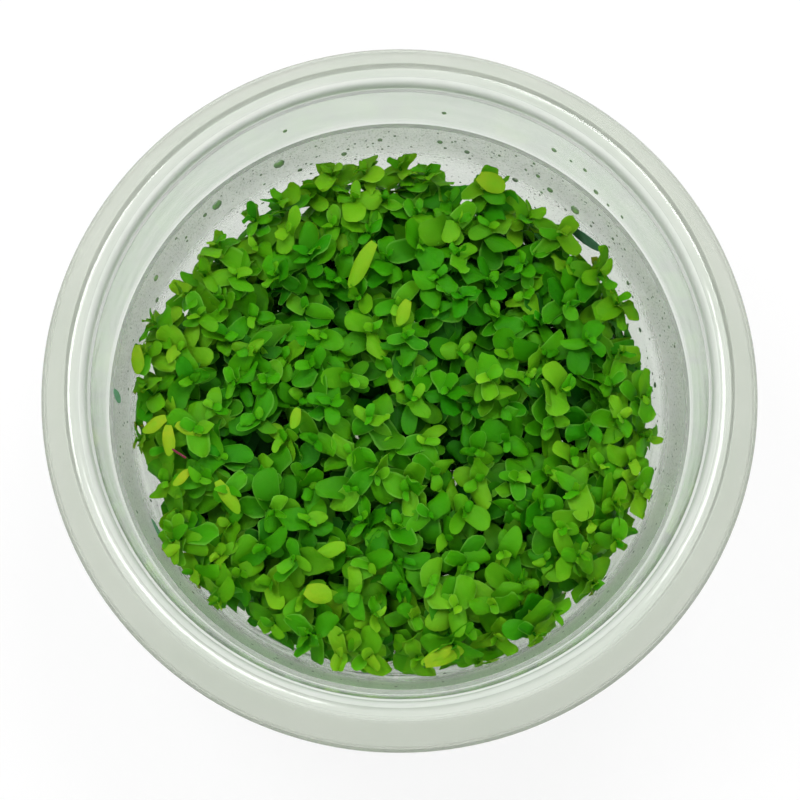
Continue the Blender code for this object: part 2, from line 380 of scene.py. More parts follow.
def leaf_points(form, base, out, up, length, width, shape):
    """Points of one leaf that starts at base, heads out and has its upper face towards up."""
    along = form.along
    widest = shape["widest"]
    past = np.clip((along - widest) / (1.0 - widest), 0.0, 1.0)
    towards_tip = (1.0 - past ** 2) ** shape["point"]
    swelling = np.sin(0.5 * math.pi * np.clip(along / widest, 0, 1))
    towards_base = shape["foot"] + (1.0 - shape["foot"]) * swelling
    half = 0.5 * width * np.where(along < widest, towards_base, towards_tip)
    y = form.span * half * (1.0 + shape["lobe"] * np.sign(form.span))
    thick = 0.5 * LEAF_THICKNESS * (1.0 - form.span ** 2) * np.clip(1.25 - along, 0.35, 1.0)
    crease = 0.10 * half * np.exp(-(form.span / 0.35) ** 2)
    ripple = shape["wave"] * width * form.span ** 2 * np.sin(7.0 * along + shape["phase"] * (1 + form.span))
    rise = form.side * thick + shape["cup"] * y * y / (0.5 * width) - crease + ripple
    turn = shape["roll"] + shape["twist"] * along
    angle = shape["bend"] * along
    sag = length * (1.0 - np.cos(angle)) / shape["bend"]
    x = length * np.sin(angle) / shape["bend"] + rise * np.sin(angle)
    z = -sag + rise * np.cos(angle) * np.cos(turn) + y * np.sin(turn)
    y = y * np.cos(turn) - rise * np.sin(turn) + shape["sickle"] * length * along ** 2
    return base + np.outer(x, out) + np.outer(y, np.cross(up, out)) + np.outer(z, up)


def tube(path, radii, sides):
    """A closed tube along a path, as points and faces."""
    path = np.asarray(path)
    steps = np.gradient(path, axis=0)
    steps /= np.linalg.norm(steps, axis=1)[:, None]
    guide = np.array([0.31, 0.95, 0.05])
    first = np.cross(steps, guide)
    first /= np.linalg.norm(first, axis=1)[:, None]
    second = np.cross(steps, first)
    turns = np.linspace(0, 2 * math.pi, sides, endpoint=False)
    share_first = np.cos(turns)[None, :, None] * first[:, None, :]
    share_second = np.sin(turns)[None, :, None] * second[:, None, :]
    rings = path[:, None, :] + np.asarray(radii)[:, None, None] * (share_first + share_second)
    faces = []
    for row in range(len(path) - 1):
        for column in range(sides):
            after = (column + 1) % sides
            faces.append((row * sides + column, row * sides + after, (row + 1) * sides + after,
                          (row + 1) * sides + column))
    faces.append(tuple(range(sides - 1, -1, -1)))
    faces.append(tuple(range((len(path) - 1) * sides, len(path) * sides)))
    return rings.reshape(-1, 3), faces


def unit(vector):
    return vector / np.linalg.norm(vector)


def camera_axes():
    forward = Vector((0.0, math.sin(TILT), -math.cos(TILT)))
    upward = Vector((0.0, math.cos(TILT), math.sin(TILT)))
    return forward, upward


def on_level(pixel, z):
    """The point at height z that the photo shows at a pixel."""
    forward, upward = camera_axes()
    eye = AIM - forward * CAMERA_DISTANCE
    across = Vector((1, 0, 0)) * (pixel[0] - FRAME_PX / 2)
    down = upward * (pixel[1] - FRAME_PX / 2)
    ray = forward * FOCAL_PX + across - down
    return eye + ray * ((z - eye.z) / ray.z)


def on_wall(pixel, cup):
    """The point on the cup's inside wall that the photo shows at a pixel."""
    high, low = cup["mouth_z"], cup["floor_top"]
    for _ in range(40):
        middle = (high + low) / 2
        point = on_level(pixel, middle)
        if math.hypot(point.x, point.y) < wall_radius(cup, middle):
            high = middle
        else:
            low = middle
    return on_level(pixel, (high + low) / 2)


def mat_reach(bearing, pixel_size, centre, cup, z):
    """How far the mat reaches from its centre at a bearing; it never passes the wall."""
    place = (bearing / (2 * math.pi) * len(MAT_REACH_PX)) % len(MAT_REACH_PX)
    before = int(place) % len(MAT_REACH_PX)
    share = place - int(place)
    reach_px = MAT_REACH_PX[before] * (1 - share) + MAT_REACH_PX[(before + 1) % len(MAT_REACH_PX)] * share
    reach = (reach_px + MAT_OVERHANG_PX) * pixel_size
    free = inner_radius(cup, z) - TIP_CLEARANCE
    along = math.cos(bearing) * centre.x + math.sin(bearing) * centre.y
    across = math.sin(bearing) * centre.x - math.cos(bearing) * centre.y
    return min(reach, math.sqrt(free * free - across * across) - along)


def hollow_share(x, y, hollows):
    """1 in the middle of a hollow of the mat, falling to 0 round it."""
    return max(math.exp(-((x - spot.x) ** 2 + (y - spot.y) ** 2) / HOLLOW_RADIUS ** 2) for spot in hollows)


def shoot_tips(cup, top, drop, spacing, chance):
    """Places for shoot tips, at least a spacing apart, over the mat that the photo shows."""
    centre = on_level(MAT_CENTRE_PX, top)
    pixel_size = (on_level((MAT_CENTRE_PX[0] + 1, MAT_CENTRE_PX[1]), top) - centre).x
    hollows = [on_level(pixel, top) for pixel in HOLLOWS_PX]
    tips = []
    for _ in range(SHOOT_TRIES):
        bearing = chance.uniform(0, 2 * math.pi)
        reach = mat_reach(bearing, pixel_size, centre, cup, top - drop)
        distance = reach * math.sqrt(chance.uniform(0, 1))
        x = centre.x + distance * math.cos(bearing)
        y = centre.y + distance * math.sin(bearing)
        if any((x - tip[0]) ** 2 + (y - tip[1]) ** 2 < spacing ** 2 for tip in tips):
            continue
        sunk = hollow_share(x, y, hollows) if drop == 0.0 else 0.0
        if sunk > HOLLOW_BARE_SHARE:
            continue
        z = top - drop + chance.uniform(-TIP_SPREAD, TIP_SPREAD) - EDGE_FALL * (distance / reach) ** 4
        z -= HOLLOW_DEPTH * sunk
        tips.append(np.array([x, y, z]))
    return tips


FLAT_LEAF = {
    "bend": 0.05, "roll": 0.0, "twist": 0.0, "cup": 0.0, "sickle": 0.0, "lobe": 0.0,
    "wave": 0.0, "phase": 0.0, "foot": 0.35, "widest": 0.52, "point": 0.55,
}


def share_yellow_leaves(shares, canopy, heads, names):
    """Gives the yellowed leaves of the photo to the plantlets nearest to them."""
    for start_px, end_px, width, yellow in YELLOW_LEAVES_PX:
        start = np.array(on_level(start_px, canopy + YELLOW_FOOT_LIFT))
        end = np.array(on_level(end_px, canopy + YELLOW_TIP_LIFT))
        nearest = names[int(np.argmin(np.linalg.norm(heads - start[:2], axis=1)))]
        shares[nearest].append((start, end, width * MM, yellow))


def add_yellow_leaf(foliage, start, end, width, yellow):
    """One leaf from start to end, with the thin stalk that carries it."""
    out = unit(end - start)
    up = unit(np.array([0, 0, 1]) - out * out[2])
    shape = dict(FLAT_LEAF, bend=0.6, cup=-0.25, sickle=0.1, wave=0.1, lobe=0.12, twist=0.3, foot=0.5)
    points = leaf_points(FINE_LEAF, start, out, up, np.linalg.norm(end - start), width, shape)
    foliage.add(points, FINE_LEAF.faces, 0, age=0.0, tone=0.7, edge=FINE_LEAF.edge * 0.4,
                yellow=yellow * (1.15 - 0.6 * FINE_LEAF.along))
    stalk = np.linspace(start - np.array([0, 0, YELLOW_STALK]), start, 4)
    points, faces = tube(stalk, [STEM_RADIUS * 0.8] * 4, 5)
    foliage.add(points, faces, 0, age=0.6, tone=0.5)


def add_roots(foliage, foot, floor, chance):
    """Thin pale roots that spread from a plantlet's foot through the gel."""
    for _ in range(ROOTS):
        bearing = chance.uniform(0, 2 * math.pi)
        spread = chance.uniform(0.8, 4.5) * MM
        depth = chance.uniform(0.4, 0.95) * (foot[2] - floor)
        end = foot + np.array([math.cos(bearing) * spread, math.sin(bearing) * spread, -depth])
        bow = np.array([chance.uniform(-1, 1), chance.uniform(-1, 1), 0.0]) * MM
        path = [foot, foot * 0.6 + end * 0.4 + bow, foot * 0.3 + end * 0.7 + bow * 1.2, end]
        points, faces = tube(path, [0.16 * MM, 0.13 * MM, 0.10 * MM, 0.05 * MM], 5)
        foliage.add(points, faces, 1)


def plantlet_stems():
    """Foot and tip of each CAD plantlet's stem, by node name."""
    stems = {}
    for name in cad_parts:
        if not name.startswith("plantlet_"):
            continue
        points = np.array([vertex.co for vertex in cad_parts[name].data.vertices])
        low, high = points[:, 2].min(), points[:, 2].max()
        foot = points[points[:, 2] < low + 0.1 * MM].mean(0)
        tip = points[points[:, 2] > high - 2.5 * MM].mean(0)
        stems[name] = (foot, tip)
    return stems


# Whorls from a shoot's tip down: how far back in mm, how many leaves, their size, rise in degrees and age;
# age also paints the shade that deepens down the mat
WHORLS = (
    {"back": 0.1, "leaves": (2, 2), "size": 0.52, "rise": 56, "age": 0.0, "form": FINE_LEAF},
    {"back": 0.9, "leaves": (2, 3), "size": 0.94, "rise": 30, "age": 0.12, "form": FINE_LEAF},
    {"back": 2.2, "leaves": (3, 4), "size": 1.1, "rise": 16, "age": 0.32, "form": FINE_LEAF},
    {"back": 4.0, "leaves": (4, 4), "size": 1.14, "rise": 8, "age": 0.6, "form": FINE_LEAF},
    {"back": 6.6, "leaves": (4, 4), "size": 1.05, "rise": 2, "age": 0.88, "form": PLAIN_LEAF},
    {"back": 9.4, "leaves": (4, 4), "size": 1.0, "rise": 4, "age": 1.0, "form": PLAIN_LEAF},
    {"back": 12.8, "leaves": (3, 4), "size": 0.9, "rise": 8, "age": 1.0, "form": PLAIN_LEAF},
    {"back": 16.5, "leaves": (3, 3), "size": 0.8, "rise": 10, "age": 1.0, "form": PLAIN_LEAF},
)
UNDER_WHORLS = (
    {"back": 0.2, "leaves": (3, 3), "size": 0.85, "rise": 30, "age": 0.9, "form": PLAIN_LEAF},
    {"back": 1.6, "leaves": (4, 4), "size": 1.15, "rise": 10, "age": 1.0, "form": PLAIN_LEAF},
    {"back": 4.6, "leaves": (4, 4), "size": 1.15, "rise": 4, "age": 1.0, "form": PLAIN_LEAF},
    {"back": 8.2, "leaves": (4, 4), "size": 1.0, "rise": 6, "age": 1.0, "form": PLAIN_LEAF},
)


def curve_between(start, end, lean, count):
    """A stem's path: it leaves the start upwards and arrives at the end along lean."""
    span = np.linalg.norm(end - start)
    first = start + np.array([0, 0, 1]) * span * 0.35
    second = end - lean * span * 0.35
    steps = np.linspace(0, 1, count)[:, None]
    return ((1 - steps) ** 3 * start + 3 * (1 - steps) ** 2 * steps * first
            + 3 * (1 - steps) * steps ** 2 * second + steps ** 3 * end)


def along_path(path, lengths, place):
    """Point of a path at a length from its start."""
    return np.array([np.interp(place, lengths, path[:, axis]) for axis in range(3)])


def grow_shoot(foliage, path, whorls, tone, cup, chance):
    """A stem along a path, with whorls of leaves back from its tip."""
    radii = np.linspace(STEM_RADIUS, STEM_RADIUS * 0.6, len(path))
    points, faces = tube(path, radii, 6)
    foliage.add(points, faces, 0, age=0.75, tone=tone, edge=0.0)
    lengths = np.concatenate([[0], np.cumsum(np.linalg.norm(np.diff(path, axis=0), axis=1))])
    turn = chance.uniform(0, 2 * math.pi)
    for whorl in whorls:
        place = lengths[-1] - whorl["back"] * MM * chance.uniform(0.85, 1.15)
        if place < 1.0 * MM:
            break
        base = along_path(path, lengths, place)
        behind = along_path(path, lengths, place - 0.4 * MM)
        axis_up = unit(base - behind)
        # Leaves near the wall stand in more light, so less painted depth shade darkens them, they look
        # fresher and they yellow sooner
        outer = math.hypot(base[0], base[1]) / inner_radius(cup, base[2])
        lit = np.clip((outer - 0.72) / 0.15, 0, 1)
        warm = 0.42 * np.clip((outer - 0.7) / 0.2, 0, 1) * max(0.0, 1.0 - 1.8 * whorl["age"])
        side = unit(np.cross(axis_up, [0.2, 1.0, 0.1]))
        other = np.cross(axis_up, side)
        leaves = chance.integers(whorl["leaves"][0], whorl["leaves"][1] + 1)
        turn += math.radians(50) + chance.uniform(-0.25, 0.25)
        for step in range(leaves):
            bearing = turn + 2 * math.pi * step / leaves + chance.uniform(-0.28, 0.28)
            outward = side * math.cos(bearing) + other * math.sin(bearing)
            rise = math.radians(whorl["rise"] + chance.uniform(-17, 17))
            out = outward * math.cos(rise) + axis_up * math.sin(rise)
            up = axis_up * math.cos(rise) - outward * math.sin(rise)
            size = whorl["size"] * chance.uniform(0.62, 1.14)
            points = leaf_points(
                whorl["form"], base, out, up,
                LEAF_LENGTH * size, LEAF_WIDTH * size * chance.uniform(0.75, 1.2), leaf_shape(chance),
            )
            foliage.add(
                points, whorl["form"].faces, 0,
                age=whorl["age"] * (1.0 - 0.75 * lit) + LEAF_FOOT_PAINTED_SHADE * (1.0 - whorl["form"].along),
                tone=tone * 0.45 + 0.55 * chance.uniform(0, 1) ** 1.2,
                edge=whorl["form"].edge * chance.uniform(0.65, 1.0),
                yellow=warm * chance.uniform(0, 1),
            )


def keep_inside(foliage, cup):
    """Presses whatever reaches the wall flat against it."""
    for points in foliage.points:
        spread = np.hypot(points[:, 0], points[:, 1])
        limit = inner_radius(cup, points[:, 2]) - WALL_CLEARANCE
        scale = np.where(spread > limit, limit / np.maximum(spread, 1e-9), 1.0)
        points[:, :2] *= scale[:, None]


def make_plants(cup, materials):
    """One foliage piece for each CAD plantlet: its own stem, side shoots and roots."""
    chance = np.random.default_rng(SEED)
    stems = plantlet_stems()
    canopy = max(tip[2] for _, tip in stems.values()) - CANOPY_DROP
    names = sorted(stems)
    heads = np.array([stems[name][1][:2] for name in names])
    shares = {name: [] for name in names}
    upper = shoot_tips(cup, canopy, 0.0, SHOOT_SPACING, chance)
    storeys = [(upper, WHORLS)]
    for drop, spacing in UNDERGROWTH:
        storeys.append((shoot_tips(cup, canopy, drop, spacing, chance), UNDER_WHORLS))
    for tips, whorls in storeys:
        for tip in tips:
            nearest = names[int(np.argmin(np.linalg.norm(heads - tip[:2], axis=1)))]
            shares[nearest].append((tip, whorls))
    red_ends = [np.array(on_level(pixel, canopy + RED_STEM_LIFT)) for pixel in RED_STEM_PX]
    accents = {name: [] for name in names}
    share_yellow_leaves(accents, canopy, heads, names)
    triangles = 0
    for name in names:
        foot, head = stems[name]
        foliage = Foliage()
        fork = foot + (head - foot) * 0.3
        trunk = curve_between(foot - np.array([0, 0, 2.0 * MM]), fork, unit(head - foot), 5)
        points, faces = tube(trunk, np.linspace(STEM_RADIUS * 1.3, STEM_RADIUS, 5), 6)
        foliage.add(points, faces, 0, age=0.9, tone=0.4)
        add_roots(foliage, foot - np.array([0, 0, 0.5 * MM]), cup["floor_top"] + 0.6 * MM, chance)
        for tip, whorls in shares[name]:
            lean = unit(np.array([tip[0] - foot[0], tip[1] - foot[1], 0]) * 0.8
                        + np.array([chance.normal(0, 0.0035), chance.normal(0, 0.0035), 0.012]))
            path = curve_between(fork, tip, lean, 9)
            grow_shoot(foliage, path, whorls, chance.uniform(0, 1), cup, chance)
        for start, end, width, yellow in accents[name]:
            add_yellow_leaf(foliage, start, end, width, yellow)
        if name == names[int(np.argmin(np.linalg.norm(heads - red_ends[0][:2], axis=1)))]:
            points, faces = tube(np.linspace(*red_ends, 4), [RED_STEM_RADIUS] * 4, 5)
            foliage.add(points, faces, 0, red=1.0)
        keep_inside(foliage, cup)
        piece = foliage.build(f"{name}_foliage", materials)
        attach(piece, "root")
        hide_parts(name)
        triangles += sum(len(face.vertices) - 2 for face in piece.data.polygons)
    print("shoots", [len(tips) for tips, _ in storeys], "foliage triangles", triangles)


def drop_form():
    """Points and faces of one flattened drop of unit size, lying on z = 0."""
    turns = np.linspace(0, 2 * math.pi, DROP_SIDES + 1)[:-1]
    points = [(0.0, 0.0, 0.24)]
    for radius, height in ((0.5, 0.19), (0.85, 0.08), (1.0, -0.03)):
        points += [(radius * math.cos(turn), radius * math.sin(turn), height) for turn in turns]
    points.append((0.0, 0.0, -0.08))
    pairs = [(here, (here + 1) % DROP_SIDES) for here in range(DROP_SIDES)]
    faces = [(0, 1 + here, 1 + after) for here, after in pairs]
    for row in range(2):
        upper = 1 + row * DROP_SIDES
        lower = upper + DROP_SIDES
        faces += [(upper + here, lower + here, lower + after, upper + after) for here, after in pairs]
    last = 1 + 2 * DROP_SIDES
    foot = last + DROP_SIDES
    faces += [(last + here, foot, last + after) for here, after in pairs]
    return np.array(points), faces


def wall_axes(bearing):
    """Directions round, up along and out of the cup's inside wall at a bearing."""
    out = np.array([math.cos(bearing), math.sin(bearing), 0.0])
    round_wall = np.array([-math.sin(bearing), math.cos(bearing), 0.0])
    up_wall = out * math.sin(LOWER_DRAFT) + np.array([0, 0, 1]) * math.cos(LOWER_DRAFT)
    return round_wall, up_wall, np.cross(up_wall, round_wall)


def add_drop(drops, form, place, radius, tall):
    """One drop on the wall; tall is its height as a share of its width."""
    points, faces = form
    round_wall, up_wall, into_cup = wall_axes(math.atan2(place[1], place[0]))
    spread = points * radius
    drops.add(
        place + np.outer(spread[:, 0], round_wall) + np.outer(spread[:, 1] * tall, up_wall)
        + np.outer(spread[:, 2], into_cup), faces, 0,
    )


def make_condensation(cup, material):
    """Fine drops over the wall above the plants, thick at the back, and the larger ones of the photo."""
    chance = np.random.default_rng(SEED + 1)
    drops = Foliage()
    form = drop_form()
    for _ in range(FINE_DROPS):
        bearing = chance.uniform(0, 2 * math.pi)
        if chance.uniform(0, 1) > 0.3 + 0.7 * max(0.0, math.sin(bearing + 0.5)):
            continue
        z = cup["ledge_z"] - chance.uniform(*DROP_BAND) * MM
        radius = inner_radius(cup, z)
        place = np.array([radius * math.cos(bearing), radius * math.sin(bearing), z])
        size = (0.07 + 0.22 * chance.uniform(0, 1) ** 5) * MM
        add_drop(drops, form, place, size, chance.uniform(0.9, 1.3))
    for pixel, size in LARGE_DROPS_PX:
        add_drop(drops, form, np.array(on_wall(pixel, cup)), size * MM * LARGE_DROP_SCALE, 1.25)
    piece = drops.build("condensation", [material])
    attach(piece, "root")


def make_stray_leaves(cup, material):
    """Leaf scraps stuck flat to the fogged wall."""
    scraps = Foliage()
    shape = dict(FLAT_LEAF, sickle=0.05)
    for start_px, end_px, width in STRAY_LEAVES_PX:
        start = np.array(on_wall(start_px, cup))
        end = np.array(on_wall(end_px, cup))
        _, _, into_cup = wall_axes(math.atan2(start[1], start[0]))
        out = unit(end - start)
        up = unit(into_cup - out * np.dot(into_cup, out))
        length = np.linalg.norm(end - start)
        points = leaf_points(FINE_LEAF, start + up * 0.3 * MM, out, up, length, width * MM, shape)
        scraps.add(points, FINE_LEAF.faces, 0, age=1.0, tone=0.3, edge=FINE_LEAF.edge * 0.5)
    piece = scraps.build("stray_leaves", [material])
    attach(piece, "root")


def node_shader(name, **inputs):
    """A material with one Principled shader; returns it with its tree and shader."""
    material = bpy.data.materials.new(name)
    material.use_nodes = True
    tree = material.node_tree
    shader = tree.nodes["Principled BSDF"]
    for socket, value in inputs.items():
        shader.inputs[socket.replace("_", " ")].default_value = value
    return material, tree, shader


def noise(tree, scale, detail, source=None):
    node = tree.nodes.new("ShaderNodeTexNoise")
    node.inputs["Scale"].default_value = scale
    node.inputs["Detail"].default_value = detail
    coordinates = source or tree.nodes.new("ShaderNodeTexCoord").outputs["Object"]
    tree.links.new(coordinates, node.inputs["Vector"])
    return node.outputs["Fac"]


def ramp(tree, source, stops):
    node = tree.nodes.new("ShaderNodeValToRGB")
    while len(node.color_ramp.elements) < len(stops):
        node.color_ramp.elements.new(0.5)
    for element, (position, colour) in zip(node.color_ramp.elements, stops):
        element.position = position
        element.color = (*colour, 1.0)
    tree.links.new(source, node.inputs["Fac"])
    return node.outputs["Color"]


def mix(tree, share, first, second, blend="MIX"):
    node = tree.nodes.new("ShaderNodeMix")
    node.data_type = "RGBA"
    node.blend_type = blend
    tree.links.new(first, node.inputs["A"])
    if hasattr(second, "links"):
        tree.links.new(second, node.inputs["B"])
    else:
        node.inputs["B"].default_value = (*second, 1.0)
    if hasattr(share, "links"):
        tree.links.new(share, node.inputs["Factor"])
    else:
        node.inputs["Factor"].default_value = share
    return node.outputs["Result"]


def math_node(tree, operation, first, second):
    node = tree.nodes.new("ShaderNodeMath")
    node.operation = operation
    for socket, value in zip(node.inputs, (first, second)):
        if hasattr(value, "links"):
            tree.links.new(value, socket)
        else:
            socket.default_value = value
    return node.outputs["Value"]


def attribute(tree, name):
    node = tree.nodes.new("ShaderNodeAttribute")
    node.attribute_name = name
    return node.outputs["Fac"]


def bump(tree, shader, source, distance, strength=1.0):
    node = tree.nodes.new("ShaderNodeBump")
    node.inputs["Distance"].default_value = distance
    node.inputs["Strength"].default_value = strength
    tree.links.new(source, node.inputs["Height"])
    tree.links.new(node.outputs["Normal"], shader.inputs["Normal"])


def leaf_material():
    material, tree, shader = node_shader(
        "living_leaf", Roughness=0.55, Subsurface_Weight=0.2, Subsurface_Scale=0.0008,
        Subsurface_Radius=(0.3, 1.0, 0.05), Specular_IOR_Level=0.08,
    )
    tone = attribute(tree, "tone")
    fresh = ramp(tree, tone, [
        (0.0, (0.017, 0.235, 0.0007)), (0.5, (0.060, 0.352, 0.0016)), (1.0, (0.19, 0.505, 0.011)),
    ])
    mature_and_shaded = ramp(tree, tone, [(0.0, (0.0008, 0.038, 0.0002)), (1.0, (0.004, 0.112, 0.0004))])
    # Painted shade: leaves darken towards the dark mature colour with age, and also with depth in the mat
    # and towards each leaf's foot
    body = mix(tree, attribute(tree, "age"), fresh, mature_and_shaded)
    # Painted highlight: each leaf's outline turns a paler green, standing in for light caught by its curled
    # edges
    rim = ramp(tree, attribute(tree, "edge"), [(0.76, (0, 0, 0)), (1.0, (0.5, 0.5, 0.5))])
    green = mix(tree, rim, body, (0.20, 0.60, 0.06))
    patchy = math_node(tree, "ADD", noise(tree, 700.0, 2.0), 0.35)
    yellowing = math_node(tree, "MULTIPLY", attribute(tree, "yellow"), patchy)
    yellowed = mix(tree, yellowing, green, (0.28, 0.41, 0.010))
    coloured = mix(tree, attribute(tree, "red"), yellowed, (0.20, 0.035, 0.06))
    tree.links.new(coloured, shader.inputs["Base Color"])
    bump(tree, shader, noise(tree, 2500.0, 2.0), 0.00004)
    return material


def fogged_leaf_material():
    material, tree, shader = node_shader("fogged_leaf", Roughness=0.6, Specular_IOR_Level=0.2)
    colour = ramp(tree, noise(tree, 600.0, 2.0), [(0.3, (0.09, 0.27, 0.14)), (0.7, (0.18, 0.40, 0.24))])
    tree.links.new(colour, shader.inputs["Base Color"])
    return material


def root_material():
    material, tree, shader = node_shader("root", Roughness=0.6)
    colour = ramp(tree, noise(tree, 900.0, 2.0), [(0.3, (0.62, 0.60, 0.45)), (0.7, (0.80, 0.80, 0.68))])
    tree.links.new(colour, shader.inputs["Base Color"])
    return material


def round_axis(tree, around, across):
    """Coordinates that vary slowly round the cup's axis and fast across the wall."""
    split = tree.nodes.new("ShaderNodeSeparateXYZ")
    tree.links.new(tree.nodes.new("ShaderNodeTexCoord").outputs["Object"], split.inputs[0])
    radius = math_node(tree, "SQRT", math_node(
        tree, "ADD", math_node(tree, "MULTIPLY", split.outputs["X"], split.outputs["X"]),
        math_node(tree, "MULTIPLY", split.outputs["Y"], split.outputs["Y"])), 0.0)
    join = tree.nodes.new("ShaderNodeCombineXYZ")
    for axis in ("X", "Y"):
        share = math_node(tree, "DIVIDE", split.outputs[axis], radius)
        tree.links.new(math_node(tree, "MULTIPLY", share, around), join.inputs[axis])
    rise = math_node(tree, "ADD", split.outputs["Z"], math_node(tree, "MULTIPLY", radius, 1.7))
    tree.links.new(math_node(tree, "MULTIPLY", rise, across), join.inputs["Z"])
    return join.outputs["Vector"], radius


def axis_share(tree, axis, start, end):
    """0 before one place on an axis and 1 past the other, in metres."""
    split = tree.nodes.new("ShaderNodeSeparateXYZ")
    tree.links.new(tree.nodes.new("ShaderNodeTexCoord").outputs["Object"], split.inputs[0])
    node = tree.nodes.new("ShaderNodeMapRange")
    tree.links.new(split.outputs[axis], node.inputs["Value"])
    node.inputs["From Min"].default_value = start
    node.inputs["From Max"].default_value = end
    return node.outputs["Result"]


def plastic_material(name, clearness, roughness):
    """Moulded plastic with fine flow lines round the axis; what isn't clear in it is milky."""
    material, tree, shader = node_shader(name, Roughness=roughness, IOR=1.49, Transmission_Weight=clearness)
    lines, radius = round_axis(tree, 3.0, 420.0)
    milk = ramp(tree, noise(tree, 1.0, 3.0, lines), [(0.3, (0.86, 0.91, 0.85)), (0.7, (0.94, 0.97, 0.93))])
    # Painted shade: past the mouth the base colour darkens over the crest and more over the skirt, standing
    # in for shade on the rim
    skirt = ramp(tree, math_node(tree, "MULTIPLY", radius, 10.0), [
        (0.439, (1, 1, 1)), (0.445, CREST_PAINTED_SHADE), (0.453, CREST_PAINTED_SHADE), (0.465, SKIRT_PAINTED_SHADE),
    ])
    tree.links.new(mix(tree, 1.0, milk, skirt, "MULTIPLY"), shader.inputs["Base Color"])
    waves, _ = round_axis(tree, 5.0, 150.0)
    bump(tree, shader, noise(tree, 1.0, 1.0, waves), 0.00016)
    return material


def fogged_material(canopy):
    """The inside of the lower wall: wet and clear low down, clouded by fine drops above the plants."""
    material, tree, shader = node_shader("fogged_wall", IOR=1.49, Transmission_Weight=0.85)
    fog = axis_share(tree, "Z", canopy - FOG_DEPTHS[0], canopy - FOG_DEPTHS[1])
    grain = noise(tree, 3000.0, 2.0)
    patches = noise(tree, 90.0, 3.0)
    wet = ramp(tree, patches, [(0.3, (0.90, 0.95, 0.88)), (0.7, (0.95, 0.98, 0.93))])
    dry = ramp(tree, patches, [(0.3, (0.91, 0.95, 0.88)), (0.7, (0.98, 0.99, 0.96))])
    speck = ramp(tree, grain, [(0.34, (0.62, 0.66, 0.60)), (0.47, (1, 1, 1))])
    clouded = mix(tree, 1.0, dry, speck, "MULTIPLY")
    # Painted reflection: towards the front the fogged band is tinted green, standing in for leaf light
    # scattered in the fog
    leaf_glow_share = math_node(tree, "MULTIPLY", fog, axis_share(tree, "Y", *LEAF_GLOW_PLACES))
    with_leaf_glow = mix(tree, leaf_glow_share, clouded, FRONT_PAINTED_LEAF_GLOW)
    tree.links.new(mix(tree, fog, wet, with_leaf_glow), shader.inputs["Base Color"])
    roughness = math_node(tree, "ADD", math_node(tree, "MULTIPLY", fog, 0.36), 0.07)
    tree.links.new(roughness, shader.inputs["Roughness"])
    bump(tree, shader, math_node(tree, "MULTIPLY", grain, fog), 0.0004)
    return material


def water_material():
    material, tree, shader = node_shader(
        "condensed_water", Roughness=0.12, IOR=1.33, Transmission_Weight=0.7,
    )
    colour = ramp(tree, noise(tree, 700.0, 2.0), [(0.3, (0.50, 0.58, 0.48)), (0.7, (0.72, 0.78, 0.70))])
    tree.links.new(colour, shader.inputs["Base Color"])
    return material


def gel_outline(cup):
    """Half section of the poured gel, drawn up a little where it wets the wall."""
    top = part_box("nutrient_gel")[1].z
    bottom = cup["floor_top"] + GEL_GAP
    edge = inner_radius(cup, top) - GEL_GAP
    return rounded([
        (0.0, top - MENISCUS_HEIGHT, 0.0),
        (edge - MENISCUS_WIDTH * 0.6, top - MENISCUS_HEIGHT, 2.5 * MM),
        (edge, top, 0.0),
        (inner_radius(cup, bottom) - GEL_GAP, bottom, FLOOR_FILLET),
        (0.0, bottom, 0.0),
    ])


def make_gel(cup):
    piece = turned("gel_disc", gel_outline(cup), CUP_SEGMENTS)
    piece.data.materials.append(gel_material())
    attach(piece, "root")
    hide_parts("nutrient_gel")


def gel_material():
    material, tree, shader = node_shader("nutrient_gel", Roughness=0.2, IOR=1.34, Transmission_Weight=0.84)
    colour = ramp(tree, noise(tree, 120.0, 4.0), [(0.35, (0.64, 0.72, 0.52)), (0.7, (0.78, 0.84, 0.68))])
    tree.links.new(colour, shader.inputs["Base Color"])
    return material


def cup_surface(cup, centre):
    """Which of the cup's materials a face takes."""
    spread = math.hypot(centre.x, centre.y)
    if spread > cup["rim"] - RIM_OUTER_FILLET / 2:
        return SKIRT
    if centre.z > cup["mouth_z"]:
        return LIP if spread < cup["mouth"] + LIP_WIDTH else CREST
    inside = centre.z > cup["floor_top"] and spread < wall_radius(cup, centre.z) + WALL / 2
    if not inside:
        return OUTSIDE
    return UPPER_WALL if centre.z > cup["ledge_z"] else LOWER_WALL


def make_cup(cup):
    piece = turned("cup_moulding", cup_outline(cup), CUP_SEGMENTS)
    for material in (
        plastic_material("clear_outside", 0.96, 0.05),
        plastic_material("frosted_upper_wall", 0.74, 0.12),
        fogged_material(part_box("plantlet_01")[1].z),
        plastic_material("milky_skirt", 0.72, 0.1),
        plastic_material("milky_crest", 0.66, 0.1),
        plastic_material("milky_lip", 0.42, 0.12),
    ):
        piece.data.materials.append(material)
    for face in piece.data.polygons:
        face.material_index = cup_surface(cup, face.center)
    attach(piece, "root")
    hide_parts("cup")


def make_camera():
    forward, _ = camera_axes()
    data = bpy.data.cameras.new("photo_view")
    data.sensor_width = SENSOR_MM
    data.lens = FOCAL_PX * SENSOR_MM / FRAME_PX
    data.clip_start = 0.01
    camera = bpy.data.objects.new("photo_view", data)
    bpy.context.scene.collection.objects.link(camera)
    camera.location = AIM - forward * CAMERA_DISTANCE
    camera.rotation_euler = (TILT, 0.0, 0.0)
    bpy.context.scene.camera = camera


def seen_share(tree, share):
    """A share where a camera, mirror or glass ray looks, and 0 for the rays that light the cup."""
    path = tree.nodes.new("ShaderNodeLightPath")
    seen = math_node(tree, "MAXIMUM", path.outputs["Is Camera Ray"], path.outputs["Is Glossy Ray"])
    seen = math_node(tree, "MAXIMUM", seen, path.outputs["Is Transmission Ray"])
    return math_node(tree, "MULTIPLY", seen, share)


